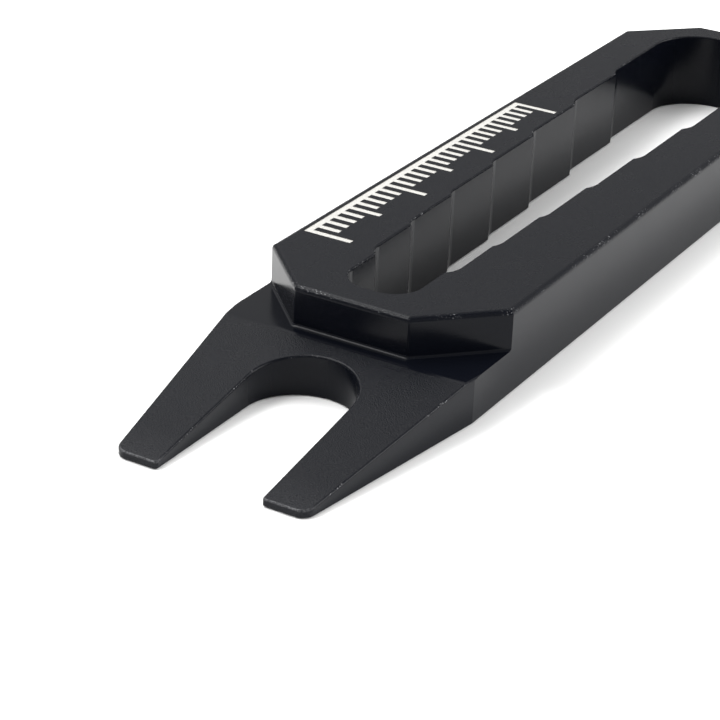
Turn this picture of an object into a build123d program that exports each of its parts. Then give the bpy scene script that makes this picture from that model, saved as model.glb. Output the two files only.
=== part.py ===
from build123d import *
import math
import os

# A fork-ended hand tool milled in one piece from aluminium bar: two thin wedge
# tines in front and, behind them, a raised handle with a long slot that widens in
# steps.  Millimetres.  +X runs from the tines to the handle's far end, +Z is up,
# and the origin is at the middle of the flat underside.

# ---- Driving dimensions ----------------------------------------------------
LENGTH = 80.0                # tine tips to the handle's far end
WIDTH = 18.0                 # across the handle
THICKNESS = 6.0              # the bar's full thickness, kept by the handle

HANDLE_LENGTH = 64.2         # the full-thickness stretch
HANDLE_CORNER = 4.8          # 45 degree cut across each plan corner of the handle
HANDLE_ROUND = 0.4           # rounds the handle's top outline
CORNER_ROUND = 0.25          # rounds the upright corners at the handle's ends

FORK_THICKNESS = 3.18        # at the ledge in front of the handle
TIP_THICKNESS = 0.55         # at the tine tips
LEDGE_LENGTH = 0.75          # flat ledge between the handle and the ramp
FORK_TAPER = 8.0             # degrees that each flank turns in towards the tips
NOTCH_WIDTH = 7.4            # between the tines; its blind end is a half circle
NOTCH_CENTRE = 6.0           # from the handle's front face to that half circle's centre

SLOT_FRONT_WALL = 2.3        # left between the handle's front face and the slot
SLOT_END_WALL = 2.2          # left behind the slot
SLOT_WIDTHS = (5.1, 6.2, 6.8, 7.4, 8.1, 8.9, 9.8, 10.6)
SLOT_RIDGES = (7.3, 12.9, 19.1, 25.8, 32.9, 40.7, 49.0)   # steps, behind the front face
SLOT_CORNER = 2.1            # cutter radius left at the slot's start and at each step
SLOT_END_CORNER = 4.0        # larger corners at the slot's far end

ROOT_FILLET = 0.2            # concave, where the handle stands on the ledge
RAMP_BLEND = 0.8             # rounds the ledge over into the ramp
TIP_OUTER_CORNER = 0.85      # plan corners of each tine tip
TIP_INNER_CORNER = 0.25
RIM_ROUND = 0.15             # tumbled top edges of the fork and the slot
EDGE_BREAK = 0.1             # deburred edges of the underside

# A plain graduated scale, engraved in the bar on the +Y side of the slot
SCALE_START = 8.0            # first stroke, behind the handle's front face
SCALE_PITCH = 1.0
SCALE_STROKES = {5: 2.9, 10: 3.6}      # longer strokes, by the spacing they repeat at
SCALE_SHORT_STROKE = 2.1
SCALE_COUNT = 31
SCALE_OUTER = 8.4            # outer end of every stroke, from the centre line
SCALE_STROKE_WIDTH = 0.5
SCALE_DEPTH = 0.04

# ---- Derived positions -----------------------------------------------------
HALF_WIDTH = WIDTH / 2
TIP_X = -LENGTH / 2
END_X = LENGTH / 2
FRONT_X = END_X - HANDLE_LENGTH
RAMP_X = FRONT_X - LEDGE_LENGTH
NOTCH_X = FRONT_X - NOTCH_CENTRE
TIP_HALF_WIDTH = HALF_WIDTH - (FRONT_X - TIP_X) * math.tan(math.radians(FORK_TAPER))
RAMP_SLOPE = (FORK_THICKNESS - TIP_THICKNESS) / (RAMP_X - TIP_X)
MARGIN = 2.0                 # how far cutting shapes run past the stock
NEAR = 0.02                  # tolerance for picking edges by place


def fork_outline():
    """Plan of the fork plate, which runs back under the handle's cut corners."""
    back_x = FRONT_X + HANDLE_CORNER + MARGIN
    outline = Polyline(
        (TIP_X, -TIP_HALF_WIDTH),
        (FRONT_X, -HALF_WIDTH),
        (back_x, -HALF_WIDTH),
        (back_x, HALF_WIDTH),
        (FRONT_X, HALF_WIDTH),
        (TIP_X, TIP_HALF_WIDTH),
        close=True,
    )
    return make_face(outline)


def notch_outline():
    """Gap between the tines: parallel sides and a half-round end."""
    throat_length = NOTCH_X - TIP_X + MARGIN
    throat = Pos(NOTCH_X - throat_length / 2, 0) * Rectangle(throat_length, NOTCH_WIDTH)
    return throat + Pos(NOTCH_X, 0) * Circle(NOTCH_WIDTH / 2)


def ramp_cutter():
    """Wedge of air above the sloping tops of the tines."""
    profile = Plane.XZ * Polyline(
        (RAMP_X, FORK_THICKNESS),
        (TIP_X - MARGIN, TIP_THICKNESS - MARGIN * RAMP_SLOPE),
        (TIP_X - MARGIN, THICKNESS),
        (RAMP_X, THICKNESS),
        close=True,
    )
    return extrude(make_face(profile), WIDTH, both=True)


def fork():
    """The notched plate with its rounded tip corners and its sloping top."""
    outline = fork_outline() - notch_outline()
    tip_corners = outline.vertices().filter_by(lambda v: abs(v.X - TIP_X) < NEAR)
    outer = tip_corners.filter_by(lambda v: abs(v.Y) > TIP_HALF_WIDTH - NEAR)
    outline = fillet(outer, TIP_OUTER_CORNER)
    tip_corners = outline.vertices().filter_by(lambda v: abs(v.X - TIP_X) < NEAR)
    inner = tip_corners.filter_by(lambda v: abs(v.Y) < NOTCH_WIDTH / 2 + NEAR)
    outline = fillet(inner, TIP_INNER_CORNER)
    plate = extrude(outline, FORK_THICKNESS) - ramp_cutter()
    crest = plate.edges().filter_by(
        lambda e: abs(e.center().X - RAMP_X) < NEAR and e.length > NOTCH_WIDTH
    )
    return fillet(crest, RAMP_BLEND)


def handle():
    """The full-thickness handle: a long octagon with a rounded top outline."""
    outline = Pos((FRONT_X + END_X) / 2, 0) * Rectangle(HANDLE_LENGTH, WIDTH)
    outline = chamfer(outline.vertices(), HANDLE_CORNER)
    end_corners = outline.vertices().filter_by(lambda v: abs(v.Y) < HALF_WIDTH - NEAR)
    outline = fillet(end_corners, CORNER_ROUND)
    solid = extrude(outline, THICKNESS)
    top_edges = solid.faces().sort_by(Axis.Z)[-1].edges()
    return fillet(top_edges, HANDLE_ROUND)


def slot_outline():
    """A chain of round-cornered pockets, each wider and starting further back."""
    far_x = END_X - SLOT_END_WALL
    start_x = FRONT_X + SLOT_FRONT_WALL
    outline = Sketch()
    for index, width in enumerate(SLOT_WIDTHS):
        if index > 0:
            # the pocket's corner arc crosses the narrower wall at the ridge
            step = (width - SLOT_WIDTHS[index - 1]) / 2
            arc_length = math.sqrt(2 * SLOT_CORNER * step - step**2)
            start_x = FRONT_X + SLOT_RIDGES[index - 1] + arc_length - SLOT_CORNER
        pocket = Pos((start_x + far_x) / 2, 0) * Rectangle(far_x - start_x, width)
        outline += fillet(pocket.vertices().sort_by(Axis.X)[:2], SLOT_CORNER)
    widest = SLOT_WIDTHS[-1] / 2
    far_corners = outline.vertices().filter_by(
        lambda v: abs(v.X - far_x) < NEAR and abs(v.Y) > widest - NEAR
    )
    return fillet(far_corners, SLOT_END_CORNER)


def fork_top_height(x):
    """Height of the ledge and the ramp at x."""
    return FORK_THICKNESS - max(RAMP_X - x, 0) * RAMP_SLOPE


def is_fork_rim(edge):
    """True for an edge round the top outline of the fork, but not one across it."""
    box = edge.bounding_box()
    if box.max.X > FRONT_X + NEAR or box.size.Y > NOTCH_WIDTH + NEAR:
        return False
    places = (edge @ 0, edge @ 0.5, edge @ 1)
    return all(abs(place.Z - fork_top_height(place.X)) < NEAR for place in places)


def is_handle_root(edge):
    """True for the inside corner where the handle's front stands on the ledge."""
    box = edge.bounding_box()
    level = box.size.Z < NEAR and abs(box.min.Z - FORK_THICKNESS) < NEAR
    in_front = FRONT_X - NEAR < edge.center().X < FRONT_X + HANDLE_CORNER
    return level and in_front and abs(edge.center().Y) < HALF_WIDTH - NEAR


def scale_marks():
    """Shallow base line and strokes of the scale, longer at every fifth and tenth."""
    first_x = FRONT_X + SCALE_START
    scale_length = (SCALE_COUNT - 1) * SCALE_PITCH
    line_place = (first_x + scale_length / 2, SCALE_OUTER - SCALE_STROKE_WIDTH / 2, THICKNESS)
    line_length = scale_length + SCALE_STROKE_WIDTH
    marks = [Pos(line_place) * Box(line_length, SCALE_STROKE_WIDTH, 2 * SCALE_DEPTH)]
    for index in range(SCALE_COUNT):
        length = SCALE_SHORT_STROKE
        for spacing, long_stroke in SCALE_STROKES.items():
            if index % spacing == 0:
                length = long_stroke
        x = first_x + index * SCALE_PITCH
        y = SCALE_OUTER - length / 2
        marks.append(Pos(x, y, THICKNESS) * Box(SCALE_STROKE_WIDTH, length, 2 * SCALE_DEPTH))
    return marks


def tool():
    """The whole tool: fork and handle as one solid, then slot, edges and scale."""
    solid = fork() + handle()
    solid = fillet(solid.edges().filter_by(is_handle_root), ROOT_FILLET)
    solid = fillet(solid.edges().filter_by(is_fork_rim), RIM_ROUND)
    solid -= Pos(0, 0, -MARGIN) * extrude(slot_outline(), THICKNESS + 2 * MARGIN)
    top = solid.faces().sort_by(Axis.Z)[-1]
    solid = fillet(top.inner_wires()[0].edges(), RIM_ROUND)
    underside = solid.faces().sort_by(Axis.Z)[0]
    solid = chamfer(underside.edges(), EDGE_BREAK)
    return solid - scale_marks()


tool_body = tool()
os.makedirs("parts", exist_ok=True)
export_step(tool_body, "parts/tool_body.step")
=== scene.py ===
from math import cos, radians, sin

import bpy
from mathutils import Matrix, Vector


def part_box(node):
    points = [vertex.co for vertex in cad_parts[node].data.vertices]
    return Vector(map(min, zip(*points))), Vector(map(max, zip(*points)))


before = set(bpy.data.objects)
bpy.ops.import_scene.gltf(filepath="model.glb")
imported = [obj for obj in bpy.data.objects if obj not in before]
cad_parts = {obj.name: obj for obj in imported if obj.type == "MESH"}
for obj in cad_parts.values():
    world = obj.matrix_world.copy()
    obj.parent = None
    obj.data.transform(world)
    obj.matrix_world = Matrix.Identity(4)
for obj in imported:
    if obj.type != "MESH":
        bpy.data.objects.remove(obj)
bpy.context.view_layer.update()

MM = 0.001

# ---- Places on the tool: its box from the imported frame, the rest as in part.py --
LOW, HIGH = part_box("tool_body")
TOP_Z = HIGH.z
TIP_X = LOW.x
LEDGE_Z = 3.18 * MM              # top of the fork's ledge, where the handle's root starts
ROOT_FILLET = 0.2 * MM

# Engraved scale on the bar beyond the slot
SCALE_X = (-17 * MM, 15 * MM)
SCALE_Y = (4.7 * MM, 8.5 * MM)
SCALE_DEPTH = 0.04 * MM

# ---- Finish of the tool --------------------------------------------------------
DYED_BLACK = (0.0026, 0.0032, 0.0054, 1)
TIP_PAINTED_LIGHT_BLACK = (0.013, 0.0135, 0.016, 1)      # painted lighter tone at the tips, standing in for the brighter light there
BARE_METAL = (0.30, 0.30, 0.31, 1)            # specks on the rounded edges, and wear with a painted highlight along the tips' edges
ENGRAVED_METAL = (0.62, 0.61, 0.58, 1)

FACES_UP = (0.90, 0.97)          # upward part of the normal on the blasted top faces
EDGE_STARTS = (0.12, 0.35)       # and on the rounded edges, above the walls
GRAIN_SIZE = 0.1 * MM
GRAIN_HEIGHT = 0.045 * MM
GRAIN_STRENGTHS = (0.06, 1.0)    # on the milled walls and on the blasted faces
EDGE_GRAIN = 0.5                 # share of the blasted faces' grain left on the edges
SPECK_SIZE = 0.12 * MM
PATCH_SIZE = 2.5 * MM            # slow mottling of the finish
NOISE_SPREAD = (0.3, 0.7)        # where nearly all of a noise's values lie

ROUGHNESSES = (0.19, 0.28)       # of the milled walls and of the blasted faces
PATCH_ROUGHNESS = (-0.02, 0.02)  # what the mottling adds
ENGRAVED_ROUGHNESS = 0.22        # what the engraving adds
ROOT_ROUGHNESS = 0.08            # what the root fillet adds
BARE_METALLIC = 0.2
BARE_DARKENING = 0.25            # at most, by the grain
SKIN_IOR = 1.21
# How far back from the tips the painted lightening reaches
TIP_PAINTED_LIGHT_LENGTH = 3.0 * MM
TIP_EDGE_LENGTH = 0.8 * MM       # the tips' own edges, where bare metal is wear and a painted highlight

# Noise levels between which the painted tip lightening, the edge wear and the tips' edge wear with
# painted highlight set in
TIP_LIGHT_GRAIN_LEVELS = (0.3, 0.6)
SPECK_LEVELS = (0.60, 0.72)
WORN_PLACE_LEVELS = (0.50, 0.62)
TIP_EDGE_WEAR_HIGHLIGHT_LEVELS = (0.35, 0.65)
TIP_EDGE_WEAR_AND_HIGHLIGHT = (0.03, 0.35)          # least and most bare metal along the tips' edges: wear and a painted highlight


# ---- Floor ---------------------------------------------------------------------
PAPER_WHITES = ((0.935, 0.935, 0.93, 1), (0.945, 0.945, 0.94, 1))
MOTTLE_SIZE = 8 * MM
FLOOR_SIZE = 4.0
FLOOR_GAP = 0.02 * MM            # keeps the floor and the tool's flat underside apart


# ---- Small helpers for node trees ----------------------------------------------
def math_node(tree, operation, first, second=0.0):
    node = tree.nodes.new("ShaderNodeMath")
    node.operation = operation
    for socket, value in zip(node.inputs, (first, second)):
        if isinstance(value, bpy.types.NodeSocket):
            tree.links.new(value, socket)
        else:
            socket.default_value = value
    return node.outputs[0]


def product(tree, first, *others):
    for other in others:
        first = math_node(tree, "MULTIPLY", first, other)
    return first


def inside(tree, socket, low, high):
    """1 where the value lies between low and high, and 0 elsewhere."""
    above = math_node(tree, "GREATER_THAN", socket, low)
    below = math_node(tree, "LESS_THAN", socket, high)
    return product(tree, above, below)


def remap(tree, socket, source, target=(0.0, 1.0)):
    """Straight-line change from the source range to the target range, clamped."""
    node = tree.nodes.new("ShaderNodeMapRange")
    tree.links.new(socket, node.inputs["Value"])
    for name, value in zip(("From Min", "From Max", "To Min", "To Max"), source + target):
        node.inputs[name].default_value = value
    return node.outputs["Result"]


def noise(tree, coordinates, size, detail=2.0):
    node = tree.nodes.new("ShaderNodeTexNoise")
    node.inputs["Scale"].default_value = 1 / size
    node.inputs["Detail"].default_value = detail
    tree.links.new(coordinates, node.inputs["Vector"])
    return node.outputs["Fac"]


def blend(tree, mask, first, second):
    """First colour where the mask is 0 and second colour where it is 1."""
    node = tree.nodes.new("ShaderNodeMix")
    node.data_type = "RGBA"
    factor, colours = node.inputs[0], node.inputs[6:8]
    tree.links.new(mask, factor)
    for socket, value in zip(colours, (first, second)):
        if isinstance(value, bpy.types.NodeSocket):
            tree.links.new(value, socket)
        else:
            socket.default_value = value
    return node.outputs[2]


# ---- Materials ---------------------------------------------------------------
def scale_mask(tree, place):
    """1 on the floor of the engraved strokes."""
    in_x = inside(tree, place["X"], *SCALE_X)
    in_y = inside(tree, place["Y"], *SCALE_Y)
    in_z = inside(tree, place["Z"], TOP_Z - 2 * SCALE_DEPTH, TOP_Z - SCALE_DEPTH / 2)
    return product(tree, in_x, in_y, in_z)


def curved_mask(tree, upward):
    """1 where the surface leans, on the rounded edges and the root fillet."""
    above_wall = remap(tree, upward, EDGE_STARTS)
    below_top = remap(tree, upward, FACES_UP, (1.0, 0.0))
    return product(tree, above_wall, below_top)


def root_mask(tree, place):
    """1 in the band of height that holds the root fillet and no rounded edge."""
    return inside(tree, place["Z"], LEDGE_Z + ROOT_FILLET / 20, LEDGE_Z + 2 * ROOT_FILLET)


def ledge_mask(tree, place):
    """1 at the height of the milled ledge."""
    return inside(tree, place["Z"], LEDGE_Z - ROOT_FILLET / 4, LEDGE_Z + ROOT_FILLET / 4)


def anodised_material():
    """Black anodising, blasted on the top faces and smoother on the milled walls."""
    material = bpy.data.materials.new("black_anodised")
    material.use_nodes = True
    tree = material.node_tree
    link = tree.links.new
    shader = tree.nodes["Principled BSDF"]
    texture = tree.nodes.new("ShaderNodeTexCoord")
    spot = texture.outputs["Object"]
    place = tree.nodes.new("ShaderNodeSeparateXYZ")
    link(spot, place.inputs[0])
    normal = tree.nodes.new("ShaderNodeSeparateXYZ")
    link(texture.outputs["Normal"], normal.inputs[0])
    upward = normal.outputs["Z"]

    ledge = ledge_mask(tree, place.outputs)
    blasted = product(tree, remap(tree, upward, FACES_UP), math_node(tree, "SUBTRACT", 1.0, ledge))
    curved = curved_mask(tree, upward)
    root = product(tree, curved, root_mask(tree, place.outputs))
    edge = math_node(tree, "SUBTRACT", curved, root)
    engraved = scale_mask(tree, place.outputs)
    grain = noise(tree, spot, GRAIN_SIZE, detail=3.0)
    specks = noise(tree, spot, SPECK_SIZE)
    patches = noise(tree, spot, PATCH_SIZE)

    # Painted lightening towards the tips, speckled by the grain, for the brighter light there;
    # bare specks of wear here and there on the edges
    near_tip = remap(tree, place.outputs["X"], (TIP_X + TIP_PAINTED_LIGHT_LENGTH, TIP_X))
    tip_painted_light = product(tree, near_tip, remap(tree, grain, TIP_LIGHT_GRAIN_LEVELS))
    worn_spots = remap(tree, specks, SPECK_LEVELS)
    worn_places = remap(tree, patches, WORN_PLACE_LEVELS)
    worn = product(tree, edge, worn_spots, worn_places)
    # Bare metal along the tips' edges: wear, and a painted highlight on their top edges
    at_tip = remap(tree, place.outputs["X"], (TIP_X + TIP_EDGE_LENGTH, TIP_X))
    tip_edge_wear_and_highlight = product(tree, edge, at_tip, remap(tree, specks, TIP_EDGE_WEAR_HIGHLIGHT_LEVELS, TIP_EDGE_WEAR_AND_HIGHLIGHT))
    bare_and_tip_highlight = math_node(tree, "MAXIMUM", math_node(tree, "MAXIMUM", worn, tip_edge_wear_and_highlight), engraved)
    metal = blend(tree, engraved, BARE_METAL, ENGRAVED_METAL)
    metal_tone = remap(tree, grain, NOISE_SPREAD, (0.0, BARE_DARKENING))
    metal = blend(tree, metal_tone, metal, DYED_BLACK)
    # Dyed black, painted lighter towards the tips
    dye_and_tip_light = blend(tree, tip_painted_light, DYED_BLACK, TIP_PAINTED_LIGHT_BLACK)
    link(blend(tree, bare_and_tip_highlight, dye_and_tip_light, metal), shader.inputs["Base Color"])

    # Roughness: smooth walls, rough blasted faces, with slow patches in both
    by_face = remap(tree, blasted, (0.0, 1.0), ROUGHNESSES)
    patchy = remap(tree, patches, NOISE_SPREAD, PATCH_ROUGHNESS)
    skin_roughness = math_node(tree, "ADD", by_face, patchy)
    in_strokes = product(tree, engraved, ENGRAVED_ROUGHNESS)
    in_root = product(tree, root, ROOT_ROUGHNESS)
    extra = math_node(tree, "ADD", in_strokes, in_root)
    link(math_node(tree, "ADD", skin_roughness, extra), shader.inputs["Roughness"])
    link(remap(tree, bare_and_tip_highlight, (0.0, 1.0), (0.0, BARE_METALLIC)), shader.inputs["Metallic"])

    # Grain: full on the blasted faces, half on the edges, faint on the walls
    textured = math_node(tree, "MAXIMUM", blasted, product(tree, edge, EDGE_GRAIN))
    bump = tree.nodes.new("ShaderNodeBump")
    link(remap(tree, textured, (0.0, 1.0), GRAIN_STRENGTHS), bump.inputs["Strength"])
    bump.inputs["Distance"].default_value = GRAIN_HEIGHT
    link(grain, bump.inputs["Height"])
    link(bump.outputs["Normal"], shader.inputs["Normal"])
    shader.inputs["IOR"].default_value = SKIN_IOR
    return material


def floor_material():
    """Matt white paper with a very faint mottle."""
    material = bpy.data.materials.new("pale_floor")
    material.use_nodes = True
    tree = material.node_tree
    shader = tree.nodes["Principled BSDF"]
    spot = tree.nodes.new("ShaderNodeTexCoord").outputs["Object"]
    mottle = remap(tree, noise(tree, spot, MOTTLE_SIZE), NOISE_SPREAD)
    paper = blend(tree, mottle, *PAPER_WHITES)
    tree.links.new(paper, shader.inputs["Base Color"])
    shader.inputs["Roughness"].default_value = 0.8
    shader.inputs["Specular IOR Level"].default_value = 0.2
    return material


def paint(node, material):
    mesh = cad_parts[node].data
    mesh.materials.clear()
    mesh.materials.append(material)


# ---- Stage --------------------------------------------------------------------
HORIZON = 0.25                   # brightness of the room at eye level and overhead
CEILING = 1.25
BACKDROP = 0.9                   # what the camera itself sees beyond the floor


def make_floor():
    bpy.ops.mesh.primitive_plane_add(size=FLOOR_SIZE, location=(0, 0, LOW.z - FLOOR_GAP))
    floor = bpy.context.object
    floor.name = "floor"
    floor.data.materials.append(floor_material())


def direction(heading, elevation):
    """Unit vector at a heading from +X towards +Y and an elevation, in degrees."""
    h, e = radians(heading), radians(elevation)
    return Vector((cos(h) * cos(e), sin(h) * cos(e), sin(e)))


def glow(tree, view, heading, elevation, tightness, strength):
    """A soft round patch of light in the room, brightest in the given direction."""
    towards = tree.nodes.new("ShaderNodeVectorMath")
    towards.operation = "DOT_PRODUCT"
    tree.links.new(view, towards.inputs[0])
    towards.inputs[1].default_value = direction(heading, elevation)
    away = math_node(tree, "SUBTRACT", towards.outputs["Value"], 1.0)
    fade = math_node(tree, "EXPONENT", product(tree, away, tightness))
    return product(tree, fade, strength)


def make_world():
    """An even white room: soft lights on the left and right, a key, and a dark screen."""
    world = bpy.data.worlds.new("studio")
    world.use_nodes = True
    tree = world.node_tree
    view = tree.nodes.new("ShaderNodeTexCoord").outputs["Generated"]
    split = tree.nodes.new("ShaderNodeSeparateXYZ")
    tree.links.new(view, split.inputs[0])
    room = remap(tree, split.outputs["Z"], (0.0, 1.0), (HORIZON, CEILING))
    left = glow(tree, view, heading=77, elevation=58, tightness=24, strength=7.8)
    right = glow(tree, view, heading=-66, elevation=20, tightness=18, strength=8.8)
    key = glow(tree, view, heading=135, elevation=51, tightness=110, strength=25.0)
    screen = glow(tree, view, heading=250, elevation=61, tightness=14, strength=-1.1)
    total = room
    for part in (left, right, key, screen):
        total = math_node(tree, "ADD", total, part)
    total = math_node(tree, "MAXIMUM", total, 0.0)
    seen = tree.nodes.new("ShaderNodeLightPath").outputs["Is Camera Ray"]
    unseen = math_node(tree, "SUBTRACT", 1.0, seen)
    total = math_node(tree, "ADD", product(tree, total, unseen), product(tree, seen, BACKDROP))
    tree.links.new(total, tree.nodes["Background"].inputs["Strength"])
    tree.nodes["Background"].inputs["Color"].default_value = (1, 1, 1, 1)
    bpy.context.scene.world = world


def make_camera():
    """The photographed view: in front, to the right and above, with a long lens."""
    heading, pitch, roll = 30.0, -26.55, 2.24
    data = bpy.data.cameras.new("camera")
    data.lens = 116.2
    data.sensor_width = 36
    data.clip_start = 0.01
    camera = bpy.data.objects.new("camera", data)
    turn = Matrix.Rotation(radians(heading - 90), 4, "Z")
    tilt = Matrix.Rotation(radians(90 + pitch), 4, "X")
    level = Matrix.Rotation(radians(roll), 4, "Z")
    place = Matrix.Translation(Vector((-138.0, -66.5, 67.8)) * MM)
    camera.matrix_world = place @ turn @ tilt @ level
    bpy.context.scene.collection.objects.link(camera)
    bpy.context.scene.camera = camera


paint("tool_body", anodised_material())
make_floor()
make_world()
make_camera()
bpy.context.scene.view_settings.view_transform = "Standard"
